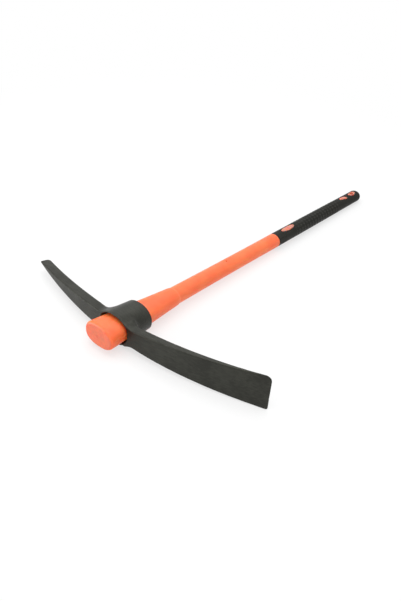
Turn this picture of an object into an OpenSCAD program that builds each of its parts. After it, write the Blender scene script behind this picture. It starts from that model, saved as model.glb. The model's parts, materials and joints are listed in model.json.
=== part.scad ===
// Pick mattock: a forged head on a slip-fit handle that is drawn in from the front.
// Millimetres. The tool is drawn along its handle: x from the front face of the head
// to the butt, y from the adze to the pick, z up. It is then laid on the ground,
// where it rests on the adze, the eye and the butt.

/* [Eye] */
// Depth of the eye along the handle
eye_depth = 71; // [62:1:84]
// Gap between the handle and the mouth at its narrow ends
mouth_side_gap = 2.6; // [1.6:0.1:4]
// Gap between the handle and the mouth above and below
mouth_top_gap = 6.4; // [2:0.1:8]
// Depth of the flare behind the mouth
mouth_flare = 26; // [18:1:40]
// Wall of the eye at the narrow ends of its front lip
lip_side_wall = 2.7; // [2:0.1:6]
// Wall of the eye above and below at its front lip
lip_top_wall = 3.4; // [3:0.1:8]
// Wall of the eye at the narrow ends of its back rim
rim_side_wall = 5; // [3:0.1:8]
// Wall of the eye above and below at its back rim
rim_top_wall = 8.4; // [4:0.1:10]
// Rounding of the outer rims
rim_round = 1.2; // [0.4:0.1:1.8]
// Clearance between the eye and the handle
slip_gap = 0.3; // [0.2:0.05:0.6]

/* [Adze] */
// Handle axis to the cutting edge
adze_reach = 327; // [260:1:380]
// Width of the cutting edge
adze_edge_w = 79; // [55:0.5:95]
// Width of the arm at the eye
adze_root_w = 36; // [28:0.5:42]
// Thickness of the arm at the eye
adze_root_t = 22; // [14:0.5:26]
// Thickness of the cutting edge
adze_edge_t = 2.4; // [1.6:0.1:4]
// How far the edge is swept back towards the butt
adze_sweep = 78; // [45:1:95]
// Corner radius of the edge, upper corner as the tool lies
adze_corner_up = 12; // [3:0.5:18]
// Corner radius of the edge, lower corner as the tool lies
adze_corner_low = 4; // [3:0.5:18]

/* [Pick] */
// Handle axis to the pick's tip
pick_reach = 278; // [220:1:330]
// Width of the arm at the eye, along the handle
pick_root_w = 23; // [18:0.5:32]
// Width of the tip's edge, along the handle
pick_tip_w = 21.5; // [12:0.5:26]
// Height of the arm at the eye
pick_root_h = 38.5; // [28:0.5:42]
// Height of the tip's edge
pick_tip_h = 3.7; // [2:0.1:8]
// How far the tip is swept back towards the butt
pick_sweep = 46; // [25:1:70]
// Rounding of the tip's back corner
pick_corner = 8; // [2:0.5:9]

/* [Arms] */
// Extra thickness where an arm runs into the eye
root_flare_t = 13.5; // [6:0.5:22]
// Extra height on each side where an arm runs into the eye
root_flare_h = 8.5; // [2:0.5:9]
// Length over which an arm runs out of that flare
root_flare_len = 22; // [16:1:40]
// Extra rounding of an arm's back edges where it runs into the eye
root_round = 9; // [2:0.5:12]
// Edge rounding of the arms
arm_round = 2.6; // [1:0.1:4]

/* [Handle] */
// Whole length of the handle, from the knob's face to the butt
handle_len = 900; // [760:5:1000]
// How far the knob stands out in front of the head
knob_out = 40; // [28:1:50]
// Width of the knob
knob_w = 76.4; // [68:0.2:84]
// Height of the knob
knob_h = 52.2; // [46:0.2:57]
// How far the knob's face is set over towards the pick
knob_over = 2.8; // [-3:0.2:3]
// How far the knob's face is set up, as the tool lies
knob_lift = 1.4; // [-2:0.2:2]
// Rounding of the knob's face
knob_round = 5; // [2:0.5:9]
// Width of the handle at the eye's back rim
seat_w = 61; // [58:0.2:65]
// Height of the handle at the eye's back rim
seat_h = 41.8; // [39.4:0.2:45]
// Length of the shoulder behind the eye
shoulder_len = 94; // [60:1:140]
// Width of the shoulder's end
ledge_w = 42.4; // [40:0.2:48]
// Height of the shoulder's end
ledge_h = 38.4; // [37:0.2:40.4]
// Length of the bevel that ends the shoulder
ledge_bevel = 5; // [2:0.5:12]
// Width of the shaft at the shoulder
neck_w = 39; // [35:0.2:42]
// Height of the shaft at the shoulder
neck_h = 36; // [32:0.2:38]
// Width of the shaft where the grip starts
shaft_w = 34.4; // [30:0.2:38]
// Height of the shaft where the grip starts
shaft_h = 32; // [28:0.2:35]
// Width of the butt
butt_w = 30.8; // [28:0.2:34]
// Height of the butt
butt_h = 27; // [25:0.2:31]
// Length of the butt's dome
dome_len = 14; // [10:0.5:20]

/* [Crush ribs] */
// How far a rib stands proud
rib_h = 0.8; // [0.4:0.1:1]
// Radius of a rib
rib_r = 1.6; // [1.2:0.1:2.4]
// Spacing of the two ribs on a narrow end
rib_pitch = 8; // [5:0.5:12]
// Plain length between the knob's face and a rib
rib_start = 14; // [9:0.5:20]
// How far a rib runs into the mouth
rib_in = 6; // [2:0.5:8]

/* [Core] */
// Diameter of the core
core_d = 18; // [14:0.5:20]
// Plastic in front of the core
core_cover = 16; // [8:1:30]
// Plastic between the core and the hang hole
core_stop = 12; // [6:1:30]
// Clearance round the core
core_gap = 0.05; // [0.02:0.01:0.2]
// Diameter of the two pin holes left by the pins that centre the core
pin_d = 3.2; // [2:0.2:5]
// Knob's face to the pin holes
pin_at = 375; // [300:5:440]
// Diameter of the gate mark in the knob's face
gate_d = 6; // [3:0.5:10]
// Depth of the gate mark
gate_deep = 0.6; // [0.3:0.1:1.5]

/* [Grip] */
// Length of the grip, to the butt
grip_len = 350; // [260:5:420]
// Thickness of the grip
grip_t = 2.4; // [1.6:0.1:3]
// Thickness of the grip over the butt
grip_end_t = 4; // [2.5:0.5:8]
// Bevel on the edge of the shaft at the grip
grip_bevel = 0.8; // [0.3:0.1:1.4]
// Seam between the grip and the shaft
seam = 0.1; // [0.05:0.05:0.3]
// Length of the oval badge window
badge_l = 46; // [30:1:60]
// Width of the oval badge window
badge_w = 13.6; // [8:0.2:18]
// Grip's front edge to the badge window's centre
badge_at = 48; // [34:1:90]
// Length of the half-moon window
moon_l = 27; // [20:1:36]
// Width of the half-moon window
moon_w = 9.6; // [6:0.2:14]
// Butt to the half-moon window's centre
moon_from_butt = 70; // [62:1:100]
// Turn of the half-moon window on the grip, in degrees
moon_turn = -12; // [-20:1:20]

/* [Hang hole] */
// Diameter of the hang hole
hole_d = 9.5; // [6:0.5:11]
// Butt to the hang hole's centre
hole_from_butt = 31; // [27:0.5:38]
// Length of the oval land round the hang hole
land_l = 27; // [18:0.5:30]
// Width of the oval land round the hang hole
land_w = 14.4; // [12.6:0.2:18]

/* [Hidden] */
$fn = 64;

// Points round one oval section, and rings in the flares and roundings
oval_n = 48;
round_n = 5;
// How square the ovals of the knob, the shaft and the eye's outside are, 2 being an ellipse
knob_square = 2.4;
shaft_square = 2.05;
collar_square = 2.2;
// Share of an arm's sweep that is a straight slope, the rest being a curve
slope_share = 0.3;
// How the adze spreads and the pick thins along their length
spread_pow = 0.8;
thin_pow = 1.4;

// Places along the handle
knob_x = -knob_out;
butt_x = handle_len - knob_out;
ledge_x = eye_depth + shoulder_len;
neck_x = ledge_x + ledge_bevel;
grip_x = butt_x - grip_len;
badge_x = grip_x + badge_at;
moon_x = butt_x - moon_from_butt;
hole_x = butt_x - hole_from_butt;
core_x0 = knob_x + core_cover;
core_x1 = hole_x - hole_d / 2 - core_stop;
pin_x = knob_x + pin_at;

function mix(a, b, t) = a + (b - a) * t;
function unit(v) = v / norm(v);
function signed_pow(v, p) = sign(v) * pow(abs(v), p);

// Half width, half height and squareness of the handle at x, with no dome on its end
function in_eye(x) = let (t = (x - knob_x) / (eye_depth - knob_x))
    [mix(knob_w, seat_w, t) / 2, mix(knob_h, seat_h, t) / 2, knob_square];
function in_shoulder(x) = let (t = (x - eye_depth) / shoulder_len)
    [mix(seat_w, ledge_w, t) / 2, mix(seat_h, ledge_h, t) / 2, mix(knob_square, shaft_square, t)];
function in_bevel(x) = let (t = (x - ledge_x) / ledge_bevel)
    [mix(ledge_w, neck_w, t) / 2, mix(ledge_h, neck_h, t) / 2, shaft_square];
function in_shaft(x) = let (t = pow(1 - (x - neck_x) / (grip_x - neck_x), 2))
    [mix(shaft_w, neck_w, t) / 2, mix(shaft_h, neck_h, t) / 2, shaft_square];
function in_grip(x) = let (t = (x - grip_x) / grip_len)
    [mix(shaft_w, butt_w, t) / 2, mix(shaft_h, butt_h, t) / 2, shaft_square];
function handle_at(x) = x <= eye_depth ? in_eye(x)
    : x <= ledge_x ? in_shoulder(x)
    : x <= neck_x ? in_bevel(x)
    : x <= grip_x ? in_shaft(x)
    : in_grip(x);

// Middle of the handle at x: straight along the shaft, then leaning over to the knob's face
function middle_at(x) = max(0, ledge_x - x) / (ledge_x - knob_x) * [0, knob_over, knob_lift];
function on_handle(ring) = [for (p = ring) p + middle_at(p[0])];

// One ring of points: the oval s at x, grown by gy across and gz up
function oval_ring(x, s, gy = 0, gz = 0) = [
    for (i = [0 : oval_n - 1])
        let (c = cos(360 * i / oval_n), v = sin(360 * i / oval_n))
        [x, (s[0] + gy) * signed_pow(c, 2 / s[2]), (s[1] + gz) * signed_pow(v, 2 / s[2])]
];
function handle_ring(x, grow = 0) = on_handle(oval_ring(x, handle_at(x), grow, grow));

// Rings that close an oval end with a dome of length len, as far as end_x
function dome_rings(end_x, len, grow) = [
    for (k = [0 : round_n])
        let (a = 84 * k / round_n, x = end_x - len + len * sin(a) / sin(84), s = handle_at(end_x - len))
        oval_ring(x, [(s[0] + grow) * cos(a), (s[1] + grow) * cos(a), s[2]])
];

// A solid through a list of rings, closed at both ends
module loft(rings) {
    n = len(rings[0]);
    last = len(rings) - 1;
    points = [for (r = rings) each r];
    sides = [
        for (i = [0 : last - 1], j = [0 : n - 1])
            let (a = i * n + j, b = i * n + (j + 1) % n)
            each [[a, a + n, b + n], [a, b + n, b]]
    ];
    start = [for (j = [0 : n - 1]) j];
    end = [for (j = [n - 1 : -1 : 0]) last * n + j];
    polyhedron(points = points, faces = concat([start], sides, [end]), convexity = 6);
}

// A skin stretched from each ring to the next, for forged shapes that run into each other
module chain(rings) {
    for (i = [0 : len(rings) - 2]) {
        both = concat(rings[i], rings[i + 1]);
        hull() polyhedron(points = both, faces = [[for (j = [0 : len(both) - 1]) j]]);
    }
}

// Lays the tool down on three points: the adze's lower corner, the eye's lip and the butt
adze_rest = [adze_sweep + adze_edge_t / 2, -adze_reach + adze_corner_low, -adze_edge_w / 2];
eye_rest = [rim_round, 0, -(in_eye(0)[1] + mouth_top_gap + lip_top_wall)] + middle_at(rim_round);
butt_rest = [butt_x - dome_len, 0, -in_grip(butt_x - dome_len)[1]];
up = unit(cross(adze_rest - eye_rest, butt_rest - eye_rest));
along = unit([1, 0, 0] - up * up[0]);
across = cross(up, along);
middle = [(knob_x + butt_x) / 2, (pick_reach - adze_reach) / 2, 0];
laid = [
    [along[0], along[1], along[2], -along * middle],
    [across[0], across[1], across[2], -across * middle],
    [up[0], up[1], up[2], -up * eye_rest],
    [0, 0, 0, 1]
];

// How much a corner of radius r takes off the width at a distance s from the end
function corner_cut(r, s) = s >= r ? 0 : r - sqrt(max(0, r * r - (r - s) * (r - s)));

// Places along an arm: close together in the flare and in the corner at its end
function arm_steps(run, corner) = concat(
    [-arm_inside],
    [for (k = [0 : 12]) (run - corner) * pow(k / 12, 1.7)],
    [for (k = [1 : round_n]) run - corner * (1 - sin(90 * k / round_n))]
);

// Rounded rectangle in an arm's own section: u back from the front face, z up
function section(u1, z0, z1, front_r, back_r) = [
    for (q = [0 : 3], k = [0 : 3])
        let (
            a = 90 * q + 30 * k,
            r = q == 0 || q == 3 ? back_r : front_r,
            cu = q == 0 || q == 3 ? u1 - r : r,
            cz = q < 2 ? z1 - r : z0 + r
        )
        [cu + r * cos(a), cz + r * sin(a)]
];

// The section set square to the arm's front face; side is -1 for the adze and 1 for the pick
function arm_ring(side, run, sweep, d, flat) =
    let (
        t = max(d, 0) / run,
        x = sweep * (slope_share * t + (1 - slope_share) * t * t),
        dx = sweep * (slope_share + 2 * (1 - slope_share) * t) / run,
        back = unit([1, -side * dx, 0])
    )
    [for (p = flat) [x, side * (arm_y0 + d), p[1]] + back * p[0]];

// An arm starts in the eye's side wall, and its root runs on inside
arm_y0 = seat_w / 2 - 1;
arm_inside = seat_w / 6;
function flare(d) = pow(1 - min(max(d, 0), root_flare_len) / root_flare_len, 2);

function adze_ring(d) =
    let (
        run = adze_reach - arm_y0,
        t = max(d, 0) / run,
        f = flare(d),
        thick = mix(adze_root_t, adze_edge_t, t) + root_flare_t * f,
        half = mix(adze_root_w, adze_edge_w, pow(t, spread_pow)) / 2 + root_flare_h * f,
        top = half - corner_cut(adze_corner_up, run - d),
        low = half - corner_cut(adze_corner_low, run - d),
        r = min(arm_round, thick * 0.45)
    )
    arm_ring(-1, run, adze_sweep, d, section(thick, -low, top, r, r + root_round * f));

function pick_ring(d) =
    let (
        run = pick_reach - arm_y0,
        t = max(d, 0) / run,
        f = flare(d),
        wide = mix(pick_root_w, pick_tip_w, t) + root_flare_t * f - corner_cut(pick_corner, run - d),
        half = mix(pick_root_h, pick_tip_h, pow(t, thin_pow)) / 2 + root_flare_h * f,
        r = min(arm_round, half * 0.9)
    )
    arm_ring(1, run, pick_sweep, d, section(wide, -half, half, r, r + root_round * f));

// The eye's hollow: the handle's taper with its clearance, flared out at the mouth
function hollow_ring(x) =
    let (
        at = min(max(x, 0), eye_depth),
        f = at >= mouth_flare ? 0 : pow(1 - at / mouth_flare, 2)
    )
    on_handle(oval_ring(
        x,
        in_eye(x),
        slip_gap + (mouth_side_gap - slip_gap) * f,
        slip_gap + (mouth_top_gap - slip_gap) * f
    ));

// The eye's outside: from the lip to the back rim, with the rims rounded
function collar_ring(x) =
    let (
        t = x / eye_depth,
        f = in_eye(0),
        b = in_eye(eye_depth),
        cut = rim_round - min(rim_round, x, eye_depth - x),
        w = mix(f[0] + mouth_side_gap + lip_side_wall, b[0] + slip_gap + rim_side_wall, t),
        h = mix(f[1] + mouth_top_gap + lip_top_wall, b[1] + slip_gap + rim_top_wall, t)
    )
    on_handle(oval_ring(x, [w - cut, h - cut, collar_square]));

module pick_head() {
    color("dimgray") multmatrix(laid) difference() {
        union() {
            chain([for (d = arm_steps(adze_reach - arm_y0, adze_corner_up)) adze_ring(d)]);
            chain([for (d = arm_steps(pick_reach - arm_y0, pick_corner)) pick_ring(d)]);
            chain([for (x = [0, rim_round, eye_depth - rim_round, eye_depth]) collar_ring(x)]);
        }
        chain([
            hollow_ring(-1),
            for (k = [0 : round_n]) hollow_ring(mouth_flare * k / round_n),
            hollow_ring(eye_depth + 1)
        ]);
    }
}

// Outlines of the bare orange lands that show through the grip
function ellipse(l, w) = [for (i = [0 : 35]) [l / 2 * cos(10 * i), w / 2 * sin(10 * i)]];
function half_moon(l, w) = [
    for (i = [0 : 18])
        let (a = 180 * i / 18)
        [l / 2 * cos(a), w * (sin(a) - 0.4)]
];

module lands(grow) {
    translate([badge_x, 0, -shaft_h]) linear_extrude(2 * shaft_h)
        polygon(ellipse(badge_l + 2 * grow, badge_w + 2 * grow));
    translate([moon_x, 0, -shaft_h]) linear_extrude(2 * shaft_h) rotate(moon_turn)
        polygon(half_moon(moon_l + 2 * grow, moon_w + 2 * grow));
    translate([hole_x, 0, -shaft_h]) linear_extrude(2 * shaft_h)
        polygon(ellipse(land_l + 2 * grow, land_w + 2 * grow));
}

// One crush rib, laid along the taper of the knob on side s at height z
module crush_rib(s, z) {
    x0 = knob_x + rib_start;
    e = knob_square;
    p = [for (x = [x0, rib_in]) let (h = in_eye(x))
        [x, s * (h[0] * pow(1 - pow(abs(z) / h[1], e), 1 / e) + rib_h - rib_r), z] + middle_at(x)];
    run = p[1] - p[0];
    translate(p[0]) rotate([0, -atan2(run[2], norm([run[0], run[1]])), atan2(run[1], run[0])]) {
        rotate([0, 90, 0]) cylinder(r = rib_r, h = norm(run));
        sphere(r = rib_r);
        translate([norm(run), 0, 0]) sphere(r = rib_r);
    }
}

jacket_end = butt_x - grip_end_t;
module jacket_skin() {
    face = in_eye(knob_x + knob_round);
    loft(concat(
        [for (k = [0 : round_n])
            let (a = 90 - 90 * k / round_n, cut = knob_round * (1 - cos(a)))
            on_handle(oval_ring(knob_x + knob_round * (1 - sin(a)), face, -cut, -cut))],
        [handle_ring(eye_depth), handle_ring(ledge_x)],
        [for (k = [0 : 8]) handle_ring(mix(neck_x, grip_x - grip_bevel, k / 8))],
        [handle_ring(grip_x, -grip_bevel), oval_ring(grip_x, in_grip(grip_x), -grip_t, -grip_t)],
        dome_rings(jacket_end, dome_len, -grip_t)
    ));
}

module handle_jacket() {
    color("orangered") multmatrix(laid) difference() {
        union() {
            jacket_skin();
            intersection() {
                lands(0);
                loft(concat([handle_ring(grip_x + seam)], dome_rings(butt_x, dome_len, 0)));
            }
            for (s = [-1, 1], z = [-rib_pitch / 2, rib_pitch / 2]) crush_rib(s, z);
        }
        translate([core_x0 - core_gap, 0, 0]) rotate([0, 90, 0])
            cylinder(d = core_d + 2 * core_gap, h = core_x1 - core_x0 + 2 * core_gap);
        translate([hole_x, 0, 0]) cylinder(d = hole_d, h = 2 * shaft_h, center = true);
        translate([pin_x, 0, 0]) cylinder(d = pin_d, h = 2 * neck_h, center = true);
        translate([knob_x - 1, knob_over, knob_lift]) rotate([0, 90, 0])
            cylinder(d = gate_d, h = gate_deep + 1);
    }
}

module fibreglass_core() {
    color("lemonchiffon") multmatrix(laid) translate([core_x0, 0, 0]) rotate([0, 90, 0])
        cylinder(d = core_d, h = core_x1 - core_x0);
}

// The sleeve is one skin: along its inside to the front edge, then back along its outside
module grip_sleeve() {
    inner = concat(
        [oval_ring(grip_x + seam, in_grip(grip_x + seam), seam / 2 - grip_t, seam / 2 - grip_t)],
        dome_rings(jacket_end + seam / 2, dome_len, seam / 2 - grip_t)
    );
    outer = concat(
        [handle_ring(grip_x + seam, -grip_bevel), handle_ring(grip_x + seam + grip_bevel)],
        dome_rings(butt_x, dome_len, 0)
    );
    color("dimgray") multmatrix(laid) difference() {
        loft(concat([for (i = [len(inner) - 1 : -1 : 0]) inner[i]], outer));
        lands(seam);
    }
}

pick_head();
handle_jacket();
fibreglass_core();
grip_sleeve();
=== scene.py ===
import json
import math

import bmesh
import bpy
import numpy
from mathutils import Matrix, Vector, noise


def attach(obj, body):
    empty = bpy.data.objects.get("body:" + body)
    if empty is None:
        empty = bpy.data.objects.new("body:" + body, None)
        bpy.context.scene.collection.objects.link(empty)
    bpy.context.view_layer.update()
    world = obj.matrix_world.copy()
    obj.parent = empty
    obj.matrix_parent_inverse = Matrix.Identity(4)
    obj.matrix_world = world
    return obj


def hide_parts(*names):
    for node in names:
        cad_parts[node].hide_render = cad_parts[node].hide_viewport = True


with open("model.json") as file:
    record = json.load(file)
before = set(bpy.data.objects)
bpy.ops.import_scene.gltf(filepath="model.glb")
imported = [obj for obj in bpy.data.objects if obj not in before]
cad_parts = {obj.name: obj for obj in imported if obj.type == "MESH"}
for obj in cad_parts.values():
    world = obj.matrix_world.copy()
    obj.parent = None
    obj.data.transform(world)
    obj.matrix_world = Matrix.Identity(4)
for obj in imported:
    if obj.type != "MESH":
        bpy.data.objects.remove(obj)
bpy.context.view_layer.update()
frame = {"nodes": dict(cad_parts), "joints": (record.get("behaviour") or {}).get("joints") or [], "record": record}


# Core of the handle: a straight rod of glass fibres drawn through resin, which gives the handle
# its strength. It is sealed in the plastic and never shows, so its solid stays as it is.
rod_cream = (0.80, 0.74, 0.52, 1)
rod_amber = (0.60, 0.47, 0.24, 1)


def new_finish(name):
    finish = bpy.data.materials.new(name)
    finish.use_nodes = True
    return finish, finish.node_tree, finish.node_tree.nodes["Principled BSDF"]


def node(tree, kind, inputs, **settings):
    """Adds a shader node; each input is a plain value, or the socket that feeds it."""
    made = tree.nodes.new("ShaderNode" + kind)
    for name, value in settings.items():
        setattr(made, name, value)
    for name, value in inputs.items():
        if isinstance(value, bpy.types.NodeSocket):
            tree.links.new(value, made.inputs[name])
        else:
            made.inputs[name].default_value = value
    return made


def blend_colours(tree, share, first, second):
    return node(tree, "Mix", {0: share, 6: first, 7: second}, data_type="RGBA").outputs[2]


def remap(tree, value, low, high, to_low, to_high):
    limits = {"Value": value, "From Min": low, "From Max": high, "To Min": to_low, "To Max": to_high}
    return node(tree, "MapRange", limits).outputs[0]


glass_rod, tree, shader = new_finish("glass_rod")
place = node(tree, "TexCoord", {}).outputs["Object"]
drawn_out = node(tree, "Mapping", {"Vector": place, "Scale": (14, 900, 900)}).outputs[0]
fibres = node(tree, "TexNoise", {"Vector": drawn_out, "Scale": 1.0, "Detail": 3.0}).outputs[0]
tree.links.new(blend_colours(tree, fibres, rod_cream, rod_amber), shader.inputs["Base Color"])
tree.links.new(remap(tree, fibres, 0.3, 0.7, 0.42, 0.6), shader.inputs["Roughness"])


def give_finish(made, finish):
    """Sets one finish on all of a piece."""
    made.data.materials.clear()
    made.data.materials.append(finish)


give_finish(frame["nodes"]["fibreglass_core"], glass_rod)


# Jacket of the handle: one moulding of bright orange polypropylene round the core. It has the
# knob that stops the head, the taper through the eye, the shoulder, the oval shaft, and the bare
# lands that come up flush through the grip. Millimetres, along the handle from the head's face.
eye_depth = 71
knob_out, knob_w, knob_h, knob_round = 40, 76.4, 52.2, 6.5
knob_over, knob_lift = 2.8, 1.4
seat_w, seat_h = 61, 41.8
shoulder_len, ledge_w, ledge_h, ledge_bevel = 94, 42.4, 38.4, 5
neck_w, neck_h = 39, 36
shaft_w, shaft_h = 34.4, 32
butt_w, butt_h, dome_len = 30.8, 27, 14
handle_len, grip_len, grip_t, grip_end_t = 900, 350, 2.4, 4
knob_square, shaft_square = 2.4, 2.05
rib_h, rib_r, rib_pitch, rib_start, rib_in = 0.8, 1.6, 8, 14, 6
core_d, core_cover, core_stop = 18, 16, 12
pin_d, pin_at = 3.8, 375
gate_d, gate_deep = 6, 0.6
badge_l, badge_w, badge_at = 46, 13.6, 48
moon_l, moon_w, moon_from_butt, moon_turn = 26, 8.4, 70, -12
moon_under, moon_set, moon_blunt = 0.16, 0.4, 0.9
hole_d, hole_from_butt, land_l, land_w = 9.5, 31, 25.4, 13
step_round, land_edge, land_root, hole_edge, hole_room = 2.0, 0.8, 2, 0.8, 0.6
bend_ease, core_gap, crisp_over = 1.8, 0.05, math.radians(38)
knob_x = -knob_out
butt_x = handle_len - knob_out
ledge_x = eye_depth + shoulder_len
neck_x = ledge_x + ledge_bevel
grip_x = butt_x - grip_len
badge_x, moon_x, hole_x = grip_x + badge_at, butt_x - moon_from_butt, butt_x - hole_from_butt

# The handle lies a little out of level, so pieces are drawn along it and then laid down.
along = Vector(frame["joints"][0]["axis"])
hang = next(m for m in frame["record"]["mounts"] if m["name"] == "hang_hole")
upward = Vector(hang["axis"])
across = upward.cross(along)
laid = Matrix.Translation(Vector(hang["pos_m"]) - along * hole_x / 1000)
laid = laid @ Matrix((along, across, upward)).transposed().to_4x4() @ Matrix.Scale(0.001, 4)


def mix(a, b, t):
    return a + (b - a) * t


def handle_at(x):
    """Half width, half height and squareness of the handle's oval at x, before any dome."""
    if x <= eye_depth:
        t = (x - knob_x) / (eye_depth - knob_x)
        size = mix(knob_w, seat_w, t), mix(knob_h, seat_h, t), knob_square
    elif x <= ledge_x:
        t = (x - eye_depth) / shoulder_len
        size = mix(seat_w, ledge_w, t), mix(seat_h, ledge_h, t), mix(knob_square, shaft_square, t)
    elif x <= neck_x:
        t = (x - ledge_x) / ledge_bevel
        size = mix(ledge_w, neck_w, t), mix(ledge_h, neck_h, t), shaft_square
    elif x <= grip_x:
        t = (1 - (x - neck_x) / (grip_x - neck_x)) ** 2
        size = mix(shaft_w, neck_w, t), mix(shaft_h, neck_h, t), shaft_square
    else:
        t = (x - grip_x) / grip_len
        size = mix(shaft_w, butt_w, t), mix(shaft_h, butt_h, t), shaft_square
    return size[0] / 2, size[1] / 2, size[2]


def oval(x, half_w, half_h, square, count=160):
    ring = []
    for i in range(count):
        c, s = math.cos(math.tau * i / count), math.sin(math.tau * i / count)
        y = half_w * math.copysign(abs(c) ** (2 / square), c)
        ring.append(Vector((x, y, half_h * math.copysign(abs(s) ** (2 / square), s))))
    return ring


def middle_at(x):
    """Middle of the handle at x: straight along the shaft, then leaning over to the knob's face."""
    lean = max(0.0, ledge_x - x) / (ledge_x - knob_x)
    return Vector((0, knob_over * lean, knob_lift * lean))


def handle_oval(x, half_w, half_h, square, count=160):
    return [p + middle_at(x) for p in oval(x, half_w, half_h, square, count)]


def handle_ring(x, grow=0.0, count=160):
    half_w, half_h, square = handle_at(x)
    return handle_oval(x, half_w + grow, half_h + grow, square, count)


def dome_rings(end_x, grow, count=160, steps=14):
    """Rings that close the handle's end with a dome."""
    half_w, half_h, square = handle_at(end_x - dome_len)
    rings = []
    last = math.radians(88)
    for k in range(steps + 1):
        a = last * k / steps
        x = end_x - dome_len + dome_len * math.sin(a) / math.sin(last)
        c = math.cos(a)
        rings.append(oval(x, (half_w + grow) * c, (half_h + grow) * c, square, count))
    return rings


def spaced(start, end, step):
    count = max(1, math.ceil((end - start) / step))
    return [start + (end - start) * k / count for k in range(count + 1)]


def shape_of(rings, round_trip=False):
    """A closed skin through rings of points: capped at both ends, or joined last to first."""
    skin = bmesh.new()
    loops = [[skin.verts.new(laid @ p) for p in ring] for ring in rings]
    pairs = list(zip(loops, loops[1:])) + ([(loops[-1], loops[0])] if round_trip else [])
    for a, b in pairs:
        for i in range(len(a)):
            j = (i + 1) % len(a)
            skin.faces.new((a[i], a[j], b[j], b[i]))
    if not round_trip:
        skin.faces.new(loops[0])
        skin.faces.new(loops[-1])
    bmesh.ops.recalc_face_normals(skin, faces=skin.faces)
    return skin


def piece(name, skin):
    mesh = bpy.data.meshes.new(name)
    skin.to_mesh(mesh)
    skin.free()
    made = bpy.data.objects.new(name, mesh)
    bpy.context.scene.collection.objects.link(made)
    return made


def combine(base, tool, how):
    """Adds the tool to the base, or cuts it out of it, for good."""
    step = base.modifiers.new(how, "BOOLEAN")
    step.operation, step.object, step.solver = how, tool, "MANIFOLD"
    settle(base)
    bpy.data.objects.remove(tool)


def settle(made):
    """Makes a piece's modifiers part of its mesh."""
    seen = made.evaluated_get(bpy.context.evaluated_depsgraph_get())
    mesh = bpy.data.meshes.new_from_object(seen)
    made.modifiers.clear()
    made.data = mesh


def drill(start, end, radius, count=48):
    """A round bar between two points, which cuts a hole or a round mark."""
    axis = (end - start).normalized()
    side = axis.orthogonal().normalized()
    other = axis.cross(side)
    turn = [math.tau * i / count for i in range(count)]
    flat = [side * math.cos(a) * radius + other * math.sin(a) * radius for a in turn]
    return piece("hole", shape_of([[start + p for p in flat], [end + p for p in flat]]))


def face_height(x, y):
    """Height of the handle's surface over a point of its plan."""
    half_w, half_h, square = handle_at(x)
    share = min(1.0, abs(y) / half_w)
    return half_h * (1 - share ** square) ** (1 / square)


def ellipse(length, width, count=96):
    turn = [math.tau * i / count for i in range(count)]
    return [Vector((length / 2 * math.cos(a), width / 2 * math.sin(a), 0)) for a in turn]


def half_moon(length, width, count=96):
    """A bow over a nearly straight edge, turned a little on the grip."""
    outline = []
    for i in range(count):
        a = math.tau * i / count
        bow = math.sin(a) if a <= math.pi else moon_under * math.sin(a)
        end = math.copysign(abs(math.cos(a)) ** moon_blunt, math.cos(a))
        outline.append(Vector((length / 2 * end, width * (bow - moon_set), 0)))
    return [Matrix.Rotation(math.radians(moon_turn), 3, "Z") @ p for p in outline]


def land_rings(centre_x, outline, inner, side):
    """Rings of one face of a land, from its outline in to its middle or its hole."""
    rings = []
    for share, drop in ((0, land_root), (0, land_edge), (0.3, 0.2 * land_edge), (1, 0)):
        rings.append([(p - p.normalized() * land_edge * share, drop) for p in outline])
    for share in (0.2, 0.4, 0.6, 0.8):
        rings.append([(mix(p - p.normalized() * land_edge, q, share), 0) for p, q in zip(outline, inner)])
    made = []
    for ring in rings:
        points = [(Vector((centre_x + p.x, p.y, 0)), drop) for p, drop in ring]
        made.append([Vector((p.x, p.y, side * (face_height(p.x, p.y) - drop))) for p, drop in points])
    return made


jacket_end = butt_x - grip_end_t
face_w, face_h, face_square = handle_at(knob_x + knob_round)
rings = []
for k in range(13):
    a = math.pi / 2 * (1 - k / 12)
    cut = knob_round * (1 - math.cos(a))
    x = knob_x + knob_round * (1 - math.sin(a))
    rings.append(handle_oval(x, face_w - cut, face_h - cut, face_square))
stations = spaced(knob_x + knob_round, eye_depth, 4)[1:] + spaced(eye_depth, ledge_x, 6)[1:-1]
stations += [ledge_x - 0.8, ledge_x - 0.3, ledge_x + 0.3, ledge_x + 0.9]
stations += spaced(ledge_x + 2, neck_x - 0.6, 1) + spaced(neck_x + 0.6, grip_x - step_round, 8)
for x in stations:
    near_by = [handle_ring(x + bend_ease * share) for share in (-1, -0.5, 0, 0.5, 1)]
    rings.append([Vector((x, *sum(same, Vector()).yz / 5)) for same in zip(*near_by)])
for k in range(1, 7):
    a = math.pi / 2 * k / 6
    rings.append(handle_ring(grip_x - step_round * (1 - math.sin(a)), -step_round * (1 - math.cos(a))))
rings.append(handle_ring(grip_x, -grip_t))
rings += [handle_ring(x, -grip_t) for x in spaced(grip_x + 10, jacket_end - dome_len - 10, 10)]
rings += dome_rings(jacket_end, -grip_t)
jacket = piece("handle_moulding", shape_of(rings))

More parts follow.
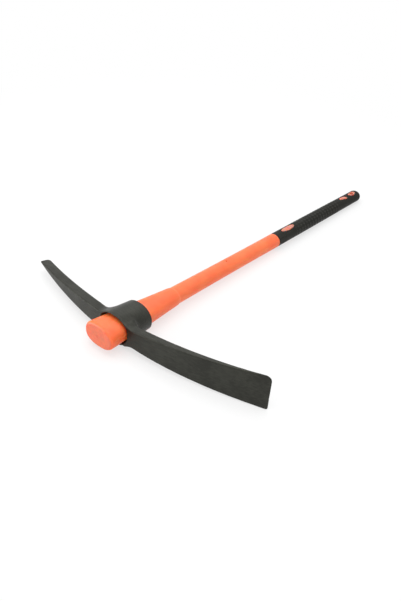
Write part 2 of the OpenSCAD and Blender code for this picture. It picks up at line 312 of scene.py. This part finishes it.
for side in (-1, 1):
    for z in (-rib_pitch / 2, rib_pitch / 2):
        ends = []
        for x in (knob_x + rib_start, rib_in):
            half_w, half_h, square = handle_at(x)
            y = half_w * (1 - (abs(z) / half_h) ** square) ** (1 / square) + rib_h - rib_r
            ends.append(Vector((x, side * y, z)) + middle_at(x))
        run = (ends[1] - ends[0]).normalized()
        out = run.cross(Vector((0, 0, 1))).normalized()
        up = out.cross(run)
        rib = []
        for k in range(-8, 9):
            a = math.pi / 2 * k / 8.2
            middle = ends[0 if k < 0 else 1] + run * rib_r * math.sin(a)
            radius = rib_r * math.cos(a)
            turn = [math.tau * i / 32 for i in range(32)]
            rib.append([middle + (out * math.cos(b) + up * math.sin(b)) * radius for b in turn])
        combine(jacket, piece("rib", shape_of(rib)), "UNION")

core_x0, core_x1 = knob_x + core_cover, hole_x - hole_d / 2 - core_stop
tall = Vector((0, 0, shaft_h))
hang_at, pin_mid = Vector((hole_x, 0, 0)), Vector((knob_x + pin_at, 0, 0))
gate_at = middle_at(knob_x) + Vector((knob_x, 0, 0))
holes = [
    (Vector((core_x0, 0, 0)), Vector((core_x1, 0, 0)), core_d / 2 + core_gap),
    (hang_at - tall, hang_at + tall, hole_d / 2 + hole_room),
    (pin_mid - tall, pin_mid + tall, pin_d / 2),
    (gate_at - Vector((1, 0, 0)), gate_at + Vector((gate_deep, 0, 0)), gate_d / 2),
]
for start, end, radius in holes:
    combine(jacket, drill(start, end, radius), "DIFFERENCE")
for centre_x, outline in ((badge_x, ellipse(badge_l, badge_w)), (moon_x, half_moon(moon_l, moon_w))):
    middle = [Vector((0, 0, 0))] * len(outline)
    upper = land_rings(centre_x, outline, middle, 1)
    lower = land_rings(centre_x, outline, middle, -1)
    combine(jacket, piece("land", shape_of(upper[::-1] + lower)), "UNION")
ring_land, ring_hole = ellipse(land_l, land_w), ellipse(hole_d + 2 * hole_edge, hole_d + 2 * hole_edge)
faces = []
for side in (1, -1):
    eased = []
    for k in range(5):
        a = math.pi / 2 * k / 4
        radius = hole_d / 2 + hole_edge * (1 - math.sin(a))
        flat = [p.normalized() * radius for p in ring_hole]
        top = [face_height(hole_x + p.x, p.y) - hole_edge * (1 - math.cos(a)) for p in flat]
        eased.append([Vector((hole_x + p.x, p.y, side * z)) for p, z in zip(flat, top)])
    faces.append(land_rings(hole_x, ring_land, ring_hole, side) + eased)
combine(jacket, piece("land", shape_of(faces[0] + faces[1][::-1], round_trip=True)), "UNION")


def shade(made):
    """Smooth shading led by the large faces, with the sharper edges left crisp."""
    made.data.shade_smooth()
    made.data.set_sharp_from_angle(angle=crisp_over)
    even = made.modifiers.new("even", "WEIGHTED_NORMAL")
    even.weight, even.keep_sharp = 80, True
    settle(made)


shade(jacket)


def effect(name, inputs, outputs):
    """A shader node group with named sockets, for a look that several finishes share."""
    group = bpy.data.node_groups.new(name, "ShaderNodeTree")
    for label, value in inputs.items():
        socket = group.interface.new_socket(label, in_out="INPUT", socket_type="NodeSocketFloat")
        socket.default_value = value
    for label in outputs:
        group.interface.new_socket(label, in_out="OUTPUT", socket_type="NodeSocketFloat")
    return group, group.nodes.new("NodeGroupInput"), group.nodes.new("NodeGroupOutput")


# Spark-eroded mould grain: the fine matt texture that a steel mould leaves on plastic, with a
# slow mottle where the melt cooled unevenly.
mould_grain, given, gives = effect("mould_grain", {"Grains per metre": 1500.0}, ["Height", "Mottle"])
place = node(mould_grain, "TexCoord", {}).outputs["Object"]
fine = node(mould_grain, "TexNoise", {"Vector": place, "Scale": given.outputs[0], "Detail": 2.0}).outputs[0]
slow = node(mould_grain, "TexNoise", {"Vector": place, "Scale": 28.0, "Detail": 2.0}).outputs[0]
mould_grain.links.new(fine, gives.inputs["Height"])
mould_grain.links.new(remap(mould_grain, slow, 0.35, 0.65, 0.0, 1.0), gives.inputs["Mottle"])

# Rub marks: short scuffs and dulled patches from racks and hands.
rub_marks, given, gives = effect("rub_marks", {"Cover": 0.5}, ["Mask"])
place = node(rub_marks, "TexCoord", {}).outputs["Object"]
stretched = node(rub_marks, "Mapping", {"Vector": place, "Scale": (90, 420, 420)}).outputs[0]
streaks = node(rub_marks, "TexNoise", {"Vector": stretched, "Scale": 1.0, "Detail": 4.0}).outputs[0]
patches = node(rub_marks, "TexNoise", {"Vector": place, "Scale": 17.0, "Detail": 1.0}).outputs[0]
both = node(rub_marks, "Math", {0: streaks, 1: patches}, operation="MULTIPLY").outputs[0]
edge = node(rub_marks, "Math", {0: 0.5, 1: given.outputs[0]}, operation="MULTIPLY").outputs[0]
over = node(rub_marks, "Math", {0: both, 1: edge}, operation="ADD").outputs[0]
rub_marks.links.new(remap(rub_marks, over, 0.52, 0.66, 0.0, 1.0), gives.inputs["Mask"])

orange_bright = (0.98, 0.186, 0.049, 1)
orange_deep = (0.97, 0.148, 0.036, 1)
orange_dulled_and_shaded = (0.50, 0.125, 0.076, 1)
orange_handled = (0.61, 0.235, 0.17, 1)
face_x, lands_x = (laid @ Vector((knob_x, 0, 0))).x, (laid @ Vector((badge_x - badge_l / 2, 0, 0))).x
scuff_shade_from, scuff_shade_full, handled_from = 0.003, 0.0005, 0.004
orange_moulding, tree, shader = new_finish("orange_moulding")
shader.inputs["Specular IOR Level"].default_value = 0.55
shader.inputs["Subsurface Weight"].default_value = 0.65
shader.inputs["Subsurface Radius"].default_value = (1.0, 0.12, 0.04)
shader.inputs["Subsurface Scale"].default_value = 0.016
grain = node(tree, "Group", {}, node_tree=mould_grain)
rubbed = node(tree, "Group", {"Cover": 0.40}, node_tree=rub_marks)
colour = blend_colours(tree, grain.outputs["Mottle"], orange_bright, orange_deep)
faint = node(tree, "Math", {0: rubbed.outputs["Mask"], 1: 0.1}, operation="MULTIPLY").outputs[0]
place = node(tree, "TexCoord", {}).outputs["Object"]
along_x = node(tree, "SeparateXYZ", {0: place}).outputs["X"]
# The knob's end face is dulled in patches: partly scuffs, partly painted shade that keeps the face darker than the
# lamps light it.
end_on = remap(tree, along_x, face_x + scuff_shade_from, face_x + scuff_shade_full, 0.0, 1.0)
handled = remap(tree, along_x, lands_x - handled_from, lands_x, 0.0, 0.8)
knock_and_shade_noise = node(tree, "TexNoise", {"Vector": place, "Scale": 150.0, "Detail": 4.0}).outputs[0]
scuff_and_shade_patches = remap(tree, knock_and_shade_noise, 0.36, 0.66, 0.5, 0.72)
face_scuff_and_shade = node(tree, "Math", {0: end_on, 1: scuff_and_shade_patches}, operation="MULTIPLY").outputs[0]
dulled_and_shaded = node(tree, "Math", {0: faint, 1: face_scuff_and_shade}, operation="MAXIMUM").outputs[0]
colour = blend_colours(tree, dulled_and_shaded, colour, orange_dulled_and_shaded)
tree.links.new(blend_colours(tree, handled, colour, orange_handled), shader.inputs["Base Color"])
tree.links.new(remap(tree, rubbed.outputs["Mask"], 0.0, 1.0, 0.42, 0.54), shader.inputs["Roughness"])
bump = node(tree, "Bump", {"Height": grain.outputs["Height"], "Strength": 0.25, "Distance": 0.0002})
tree.links.new(bump.outputs[0], shader.inputs["Normal"])
give_finish(jacket, orange_moulding)
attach(jacket, "handle")
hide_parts("handle_jacket")


# Grip: soft black rubber moulded over the last third of the jacket and round the butt. It keys
# into the jacket at its windows, and its middle is studded so that wet gloves hold.
grip_count = 224
lip_round, window_gap = 1.6, 1.4
stud_from, stud_to, stud_fade = 62, 95, 11
stud_pitch, stud_rows, stud_h, stud_sink = 11, 14, 0.65, 0.2
stud_gap, stud_flat, stud_round = 0.3, 1.5, 0.7
fine_step, plain_step, seam = 0.9, 1.6, 0.1


def stud_height(x, i):
    """Height of the studs over the grip's plain face, at a place along it and round it."""
    ends = min(x - grip_x - stud_from, butt_x - stud_to - x) / stud_fade
    u = math.cos(math.tau * (x - grip_x) / stud_pitch)
    v = math.cos(math.tau * stud_rows * i / grip_count)
    crown = max(0.0, u + v - stud_gap) / (2 - stud_gap)
    rise = stud_h * min(1.0, stud_flat * crown) ** stud_round
    return max(0.0, min(1.0, ends)) * (rise - stud_sink)


outside = []
for k in range(7):
    a = math.pi / 2 * k / 6
    x = grip_x + seam + lip_round * (1 - math.cos(a))
    outside.append(handle_ring(x, lip_round * (math.sin(a) - 1), grip_count))
studded = spaced(grip_x + stud_from - 2, butt_x - stud_to + 2, fine_step)
stations = spaced(grip_x + 3, studded[0] - 1.5, plain_step) + studded
stations += spaced(studded[-1] + 1.5, butt_x - dome_len - 1.5, plain_step)
for x in stations:
    ring = handle_ring(x, 0.0, grip_count)
    lifted = handle_ring(x, 1.0, grip_count)
    outside.append([mix(p, q, stud_height(x, i)) for i, (p, q) in enumerate(zip(ring, lifted))])
outside += dome_rings(butt_x, 0.0, grip_count)
bore = seam / 2 - grip_t
stations = spaced(grip_x + seam, jacket_end - dome_len - 4, 20)
inside = [handle_ring(x, bore, grip_count) for x in stations]
inside += dome_rings(jacket_end + seam / 2, bore, grip_count)
grip = piece("grip_rubber_sleeve", shape_of(inside[::-1] + outside))
windows = [(badge_x, ellipse(badge_l, badge_w)), (moon_x, half_moon(moon_l, moon_w)),
           (hole_x, ellipse(land_l, land_w))]
for centre_x, outline in windows:
    wide = [p + p.normalized() * window_gap for p in outline]
    at = Vector((centre_x, 0, 0))
    cutter = shape_of([[at + p - tall for p in wide], [at + p + tall for p in wide]])
    combine(grip, piece("window", cutter), "DIFFERENCE")
shade(grip)

# Crest wear and painted highlight: corners and raised studs are rubbed first, so they turn a little paler in
# patches.
# The same paling also stands as a painted highlight on lit crests, studs and rims.
crest_wear_and_highlight, given, gives = effect("crest_wear_and_highlight", {"Amount": 1.0, "Starts at": 0.53, "Spread": 0.09}, ["Mask"])
crest = node(crest_wear_and_highlight, "NewGeometry", {}).outputs["Pointiness"]
place = node(crest_wear_and_highlight, "TexCoord", {}).outputs["Object"]
broken = node(crest_wear_and_highlight, "TexNoise", {"Vector": place, "Scale": 130.0, "Detail": 4.0}).outputs[0]
patchy = remap(crest_wear_and_highlight, broken, 0.35, 0.65, 0.2, 1.0)
proud = node(crest_wear_and_highlight, "Math", {0: crest, 1: given.outputs["Starts at"]}, operation="SUBTRACT").outputs[0]
sharp = remap(crest_wear_and_highlight, proud, 0.0, given.outputs["Spread"], 0.0, 1.0)
wear_and_highlight = node(crest_wear_and_highlight, "Math", {0: sharp, 1: patchy}, operation="MULTIPLY").outputs[0]
amount = node(crest_wear_and_highlight, "Math", {0: wear_and_highlight, 1: given.outputs["Amount"]}, operation="MULTIPLY").outputs[0]
crest_wear_and_highlight.links.new(amount, gives.inputs["Mask"])

rubber_black = (0.0035, 0.0037, 0.0029, 1)
rubber_grey = (0.0070, 0.0072, 0.0056, 1)
rubber_dust_and_highlight = (0.08, 0.08, 0.07, 1)
grip_rubber, tree, shader = new_finish("grip_rubber")
shader.inputs["Specular IOR Level"].default_value = 0.20
shader.inputs["Specular Tint"].default_value = (1.0, 1.0, 0.9, 1)
grain = node(tree, "Group", {"Grains per metre": 2400.0}, node_tree=mould_grain)
rubbed = node(tree, "Group", {"Cover": 0.46}, node_tree=rub_marks)
colour = blend_colours(tree, grain.outputs["Mottle"], rubber_black, rubber_grey)
# Stud crests turn paler: partly rub wear and dust, partly a painted highlight along the studs' ridges.
crests = node(tree, "Group", {"Amount": 0.32, "Starts at": 0.504, "Spread": 0.012}, node_tree=crest_wear_and_highlight)
faint = node(tree, "Math", {0: rubbed.outputs["Mask"], 1: 0.12}, operation="MULTIPLY").outputs[0]
wear_and_highlight = node(tree, "Math", {0: faint, 1: crests.outputs["Mask"]}, operation="MAXIMUM").outputs[0]
tree.links.new(blend_colours(tree, wear_and_highlight, colour, rubber_dust_and_highlight), shader.inputs["Base Color"])
tree.links.new(remap(tree, grain.outputs["Mottle"], 0.0, 1.0, 0.5, 0.62), shader.inputs["Roughness"])
bump = node(tree, "Bump", {"Height": grain.outputs["Height"], "Strength": 0.4, "Distance": 0.0002})
tree.links.new(bump.outputs[0], shader.inputs["Normal"])
give_finish(grip, grip_rubber)
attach(grip, "handle")
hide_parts("grip_sleeve")


# Head: one drop forging in steel, with a tapered oval eye, an adze arm and a chisel-ended pick
# arm, painted dark grey. It drops over the butt and jams on the handle's taper, with no wedge.
mouth_side_gap, mouth_top_gap, mouth_flare, slip_gap = 2.6, 6.4, 26, 0.3
lip_side_wall, lip_top_wall, rim_side_wall, rim_top_wall, rim_round = 2.7, 3.4, 5, 8.4, 1.2
collar_square = 2.2
adze_reach, adze_edge_w, adze_root_w, adze_root_t, adze_edge_t = 327, 79, 36, 22, 2.4
adze_sweep, adze_corner_up, adze_corner_low = 78, 12, 4
pick_reach, pick_root_w, pick_tip_w, pick_root_h, pick_tip_h = 278, 23, 21.5, 38.5, 3.7
pick_sweep, pick_corner = 46, 8
root_flare_t, root_flare_h, root_flare_len, root_round, arm_round = 13.5, 8.5, 22, 9, 2.2
slope_share, spread_pow, thin_pow, round_limit = 0.3, 0.8, 1.4, 0.45
arm_y0, arm_inside = seat_w / 2 - 1, seat_w / 6
forge_voxel, forge_ripple, ripples_per_m = 0.0012, 0.00012, 55
blend_reach, blend_passes, crest_loss, ease_passes = 66, 170, 0.1, 12
blend_from, blend_rise, blend_fall, wall_kept, wall_rise = 14, 8, 16, 2.5, 8
front_kept, front_rise, back_kept, back_rise = 1, 6, 3, 5


def corner_cut(radius, left):
    return 0.0 if left >= radius else radius - math.sqrt(max(0.0, radius ** 2 - (radius - left) ** 2))


def arm_section(u1, z0, z1, front_r, back_r):
    """A rounded rectangle in an arm's own section: u back from the front face, z up."""
    points = []
    corners = ((u1 - back_r, z1 - back_r, back_r), (front_r, z1 - front_r, front_r),
               (front_r, z0 + front_r, front_r), (u1 - back_r, z0 + back_r, back_r))
    for quarter, (u, z, radius) in enumerate(corners):
        for k in range(7):
            a = math.pi / 2 * (quarter + k / 6)
            points.append((u + radius * math.cos(a), z + radius * math.sin(a)))
    return points


def arm_ring(side, run, sweep, d, section):
    """The section set square to the arm's front face, a distance d out from the eye."""
    t = max(d, 0) / run
    x = sweep * (slope_share * t + (1 - slope_share) * t * t)
    lean = sweep * (slope_share + 2 * (1 - slope_share) * t) / run
    back = Vector((1, -side * lean, 0)).normalized()
    return [Vector((x, side * (arm_y0 + d), z)) + back * u for u, z in section]


def root_swell(d):
    return (1 - min(max(d, 0), root_flare_len) / root_flare_len) ** 2


def adze_ring(d):
    run = adze_reach - arm_y0
    t, swell = max(d, 0) / run, root_swell(d)
    thick = mix(adze_root_t, adze_edge_t, t) + root_flare_t * swell
    half = mix(adze_root_w, adze_edge_w, t ** spread_pow) / 2 + root_flare_h * swell
    top = half - corner_cut(adze_corner_up, run - d)
    low = half - corner_cut(adze_corner_low, run - d)
    radius = min(arm_round, thick * round_limit)
    section = arm_section(thick, -low, top, radius, radius + root_round * swell)
    return arm_ring(-1, run, adze_sweep, d, section)


def pick_ring(d):
    run = pick_reach - arm_y0
    t, swell = max(d, 0) / run, root_swell(d)
    wide = mix(pick_root_w, pick_tip_w, t) + root_flare_t * swell - corner_cut(pick_corner, run - d)
    half = mix(pick_root_h, pick_tip_h, t ** thin_pow) / 2 + root_flare_h * swell
    radius = min(arm_round, 2 * half * round_limit)
    section = arm_section(wide, -half, half, radius, radius + root_round * swell)
    return arm_ring(1, run, pick_sweep, d, section)


def arm_stations(run, corner):
    out = [-arm_inside] + spaced(0, root_flare_len, 1.5) + spaced(root_flare_len + 4, run - corner, 5)
    return out + [run - corner * (1 - math.sin(math.pi / 2 * k / 14)) for k in range(1, 15)]


def hollow_ring(x):
    at = min(max(x, 0), eye_depth)
    flare = max(0.0, 1 - at / mouth_flare) ** 2
    half_w, half_h, square = handle_at(min(x, eye_depth))
    half_w += mix(slip_gap, mouth_side_gap, flare)
    half_h += mix(slip_gap, mouth_top_gap, flare)
    return handle_oval(x, half_w, half_h, square)


def collar_ring(x):
    front, back, t = handle_at(0), handle_at(eye_depth), x / eye_depth
    cut = corner_cut(rim_round, min(x, eye_depth - x))
    wide = mix(front[0] + mouth_side_gap + lip_side_wall, back[0] + slip_gap + rim_side_wall, t)
    tall_at = mix(front[1] + mouth_top_gap + lip_top_wall, back[1] + slip_gap + rim_top_wall, t)
    return handle_oval(x, wide - cut, tall_at - cut, collar_square)


rims = [rim_round * (1 - math.cos(math.pi / 2 * k / 5)) for k in range(6)]
stations = rims + spaced(4, eye_depth - 4, 6) + [eye_depth - x for x in rims[::-1]]
head = piece("forged_head", shape_of([collar_ring(x) for x in stations]))
adze = [adze_ring(d) for d in arm_stations(adze_reach - arm_y0, adze_corner_up)]
combine(head, piece("adze", shape_of(adze)), "UNION")
pick = [pick_ring(d) for d in arm_stations(pick_reach - arm_y0, pick_corner)]
combine(head, piece("pick", shape_of(pick)), "UNION")
hollow = [hollow_ring(x) for x in [-1] + spaced(0, mouth_flare, 1.5) + [eye_depth + 1]]
combine(head, piece("hollow", shape_of(hollow)), "DIFFERENCE")
forge = head.modifiers.new("forge", "REMESH")
forge.mode, forge.voxel_size = "VOXEL", forge_voxel
settle(head)


def blend_share(p):
    """How much a point of the forging takes part in the fillets at the arms' roots."""
    if abs(p.y) > blend_reach:
        return 0.0
    half_w, half_h, square = handle_at(min(p.x, eye_depth))
    q = p - middle_at(p.x)
    off_eye = (abs(q.y) / (half_w + wall_kept)) ** square + (abs(q.z) / (half_h + wall_kept)) ** square - 1
    near = min(1.0, max(0.0, abs(p.y) - blend_from) / blend_rise, (blend_reach - abs(p.y)) / blend_fall)
    front, back = max(0.0, p.x - front_kept), max(0.0, eye_depth - back_kept - p.x)
    between = min(1.0, front / front_rise, back / back_rise)
    return near * between * min(1.0, max(0.0, off_eye * wall_rise))


# Steel fills the creases between eye and arms as it flows in the die, so hollows there are
# filled out step by step, while the crests beside them hardly sink.
skin = head.data
stand = laid.inverted()
share = numpy.array([blend_share(stand @ vertex.co) for vertex in skin.vertices])
places, outward = numpy.zeros((2, len(share), 3), numpy.float32)
skin.vertices.foreach_get("co", places.ravel())
skin.vertex_normals.foreach_get("vector", outward.ravel())
ends = numpy.zeros((len(skin.edges), 2), numpy.int32)
skin.edges.foreach_get("vertices", ends.ravel())
meets = numpy.bincount(ends.ravel(), minlength=len(share))
roots = ends[(share[ends] > 0).any(axis=1)]
for step in range(blend_passes):
    height = numpy.zeros(len(share))
    for a, b in (roots.T, roots.T[::-1]):
        height += numpy.bincount(a, ((places[b] - places[a]) * outward[a]).sum(axis=1), len(share))
    height = numpy.where(height > 0, height, crest_loss * height) / meets
    places += outward * (0.5 * share * height)[:, None].astype(numpy.float32)

# The skin is evened out, each pass drawing in and the next letting out, so nothing shrinks.
a, b = ends.T
for step in range(ease_passes):
    for pull in (0.5, -0.52):
        span = places[b] - places[a]
        drift = [numpy.bincount(a, s, len(share)) - numpy.bincount(b, s, len(share)) for s in span.T]
        places += (pull * numpy.array(drift) / meets).T.astype(numpy.float32)
skin.vertices.foreach_set("co", places.ravel())
for vertex, normal in zip(skin.vertices, [n.vector.copy() for n in skin.vertex_normals]):
    vertex.co += normal * forge_ripple * noise.noise(vertex.co * ripples_per_m)
head.data.shade_smooth()

paint_dark = (0.0060, 0.0063, 0.0040, 1)
paint_light = (0.020, 0.0206, 0.0155, 1)
paint_rubbed_and_highlight = (0.060, 0.059, 0.051, 1)
head_paint, tree, shader = new_finish("head_paint")
shader.inputs["Specular IOR Level"].default_value = 0.34
shader.inputs["Specular Tint"].default_value = (1.0, 1.0, 0.9, 1)
place = node(tree, "TexCoord", {}).outputs["Object"]
pits = {"Vector": place, "Scale": 420.0, "Detail": 5.0, "Roughness": 0.65}
scale_marks = node(tree, "TexNoise", pits).outputs[0]
clouds = node(tree, "TexNoise", {"Vector": place, "Scale": 30.0, "Detail": 3.0}).outputs[0]
rubbed = node(tree, "Group", {"Cover": 0.42}, node_tree=rub_marks)
# Edges and the eye's lip turn paler: partly paint rubbed through, partly a painted highlight along the lit rim.
corners = node(tree, "Group", {"Amount": 0.9}, node_tree=crest_wear_and_highlight)
drawn = node(tree, "Mapping", {"Vector": place, "Scale": (330, 28, 330)}).outputs[0]
streaks = node(tree, "TexNoise", {"Vector": drawn, "Scale": 1.0, "Detail": 4.0}).outputs[0]
uneven = node(tree, "Math", {0: clouds, 1: streaks}, operation="ADD").outputs[0]
colour = blend_colours(tree, remap(tree, uneven, 0.8, 1.2, 0.0, 1.0), paint_dark, paint_light)
marks = node(tree, "Math", {0: rubbed.outputs["Mask"], 1: 0.25}, operation="MULTIPLY").outputs[0]
wear_and_highlight = node(tree, "Math", {0: marks, 1: corners.outputs["Mask"]}, operation="MAXIMUM").outputs[0]
tree.links.new(blend_colours(tree, wear_and_highlight, colour, paint_rubbed_and_highlight), shader.inputs["Base Color"])
tree.links.new(remap(tree, scale_marks, 0.3, 0.7, 0.32, 0.46), shader.inputs["Roughness"])
bump = node(tree, "Bump", {"Height": scale_marks, "Strength": 0.5, "Distance": 0.0004})
tree.links.new(bump.outputs[0], shader.inputs["Normal"])
give_finish(head, head_paint)
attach(head, "head")
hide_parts("pick_head")


# Floor and light: the tool lies on a pale floor in a white studio, in even light from all round,
# with a broad soft box overhead, a low lamp on the pick's side and a weak one behind. The floor
# keeps a faint shadow, and fades to white further out.
scene = bpy.context.scene
scene.view_settings.view_transform = "Standard"
floor_size, floor_drop, shadow_kept = 14.0, 0.0003, 0.35
fade_from, fade_to = 0.6, 1.1


def seen_directly(tree):
    """1 for rays that look at the background itself, 0 for rays that carry its light."""
    path = node(tree, "LightPath", {})
    seen = path.outputs["Is Camera Ray"]
    for kind in ("Is Glossy Ray", "Is Transmission Ray"):
        seen = node(tree, "Math", {0: seen, 1: path.outputs[kind]}, operation="MAXIMUM").outputs[0]
    return seen


sheet = bmesh.new()
bmesh.ops.create_grid(sheet, x_segments=1, y_segments=1, size=floor_size / 2)
floor = piece("floor", sheet)
floor.location.z = -floor_drop
pale_floor, tree, shader = new_finish("pale_floor")
shader.inputs["Base Color"].default_value = (0.9, 0.9, 0.9, 1)
shader.inputs["Roughness"].default_value = 0.9
white = node(tree, "Emission", {"Color": (1, 1, 1, 1), "Strength": 1.0})
place = node(tree, "TexCoord", {}).outputs["Object"]
away = node(tree, "VectorMath", {0: place}, operation="LENGTH").outputs["Value"]
white_share = remap(tree, away, fade_from, fade_to, 1 - shadow_kept, 1.0)
bare = node(tree, "Math", {0: seen_directly(tree), 1: white_share}, operation="MULTIPLY").outputs[0]
mixed = node(tree, "MixShader", {0: bare, 1: shader.outputs[0], 2: white.outputs[0]})
tree.links.new(mixed.outputs[0], tree.nodes["Material Output"].inputs["Surface"])
give_finish(floor, pale_floor)

studio = bpy.data.worlds.new("studio")
studio.use_nodes = True
scene.world = studio
tree = studio.node_tree
fill = tree.nodes["Background"]
fill.inputs["Color"].default_value = (1, 1, 1, 1)
fill.inputs["Strength"].default_value = 0.6
backdrop = node(tree, "Background", {"Color": (1, 1, 1, 1), "Strength": 1.0})
mixed = node(tree, "MixShader", {0: seen_directly(tree), 1: fill.outputs[0], 2: backdrop.outputs[0]})
tree.links.new(mixed.outputs[0], tree.nodes["World Output"].inputs["Surface"])


def lamp(name, power, size, position, target):
    light = bpy.data.lights.new(name, "AREA")
    light.energy, light.size = power, size
    made = bpy.data.objects.new(name, light)
    made.location = position
    made.rotation_euler = (Vector(target) - Vector(position)).to_track_quat("-Z", "Y").to_euler()
    scene.collection.objects.link(made)


lamp("soft_box", 38.0, 2.6, (-0.3, 0.0, 2.1), (-0.3, 0.0, 0.0))
lamp("side_light", 19.0, 0.9, (-1.7, 1.3, 0.4), (-0.4, 0.1, 0.0))
lamp("back_light", 2.0, 1.0, (0.9, 0.9, 1.4), (-0.1, 0.0, 0.0))


# Camera: a normal lens, a little over a metre up, off the corner of knob and adze, so that the
# tool is seen from the same side and as large as in the photograph.
lens = bpy.data.cameras.new("camera")
lens.sensor_width, lens.lens = 36.0, 50.915
camera = bpy.data.objects.new("camera", lens)
camera.location = (-1.30633, -0.8939, 1.09265)
camera.rotation_euler = [math.radians(a) for a in (52.6276, -4.9376, -47.7715)]
scene.collection.objects.link(camera)
scene.camera = camera
